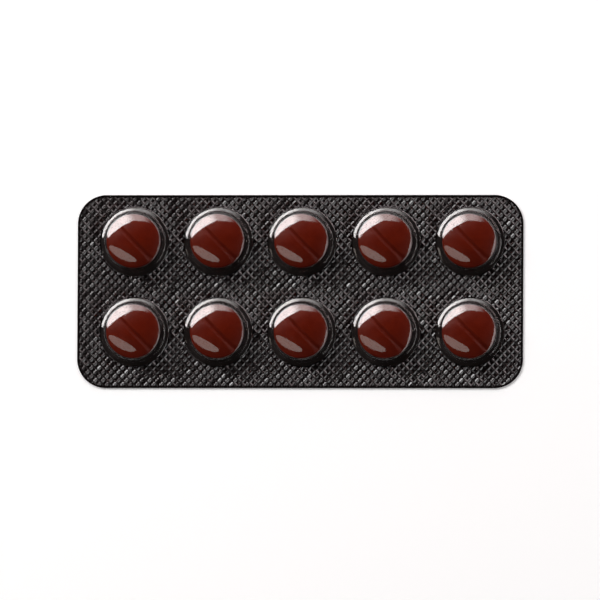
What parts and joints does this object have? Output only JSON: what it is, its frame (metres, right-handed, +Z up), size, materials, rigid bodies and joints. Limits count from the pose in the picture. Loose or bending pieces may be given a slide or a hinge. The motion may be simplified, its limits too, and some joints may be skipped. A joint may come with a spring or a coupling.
{
  "type": "blister strip of tablets",
  "caption": "Flat card of knurled clear film, drawn into rows of round pockets with a scored tablet in each, sealed by foil beneath.",
  "frame": {"origin": "centre of the card's underside, on the surface that the strip lies on", "axes": "+X along the rows of pockets, +Y across them, +Z up out of the card, the way the pockets stand"},
  "size_m": [0.0928, 0.04, 0.005],
  "materials": {
    "film": "clear glossy film with a faint warm brown tint, knurled where it is sealed",
    "foil": "dark brown lacquer on the side seen through the film, plain bright aluminium beneath",
    "tablet": "glossy red-brown film coat"
  },
  "bodies": {
    "root": {"lidding_foil": "foil", "blister_film": "film", "tablet_r1c1": "tablet", "tablet_r1c2": "tablet", "tablet_r1c3": "tablet", "tablet_r1c4": "tablet", "tablet_r1c5": "tablet", "tablet_r2c1": "tablet", "tablet_r2c2": "tablet", "tablet_r2c3": "tablet", "tablet_r2c4": "tablet", "tablet_r2c5": "tablet"}
  },
  "joints": []
}
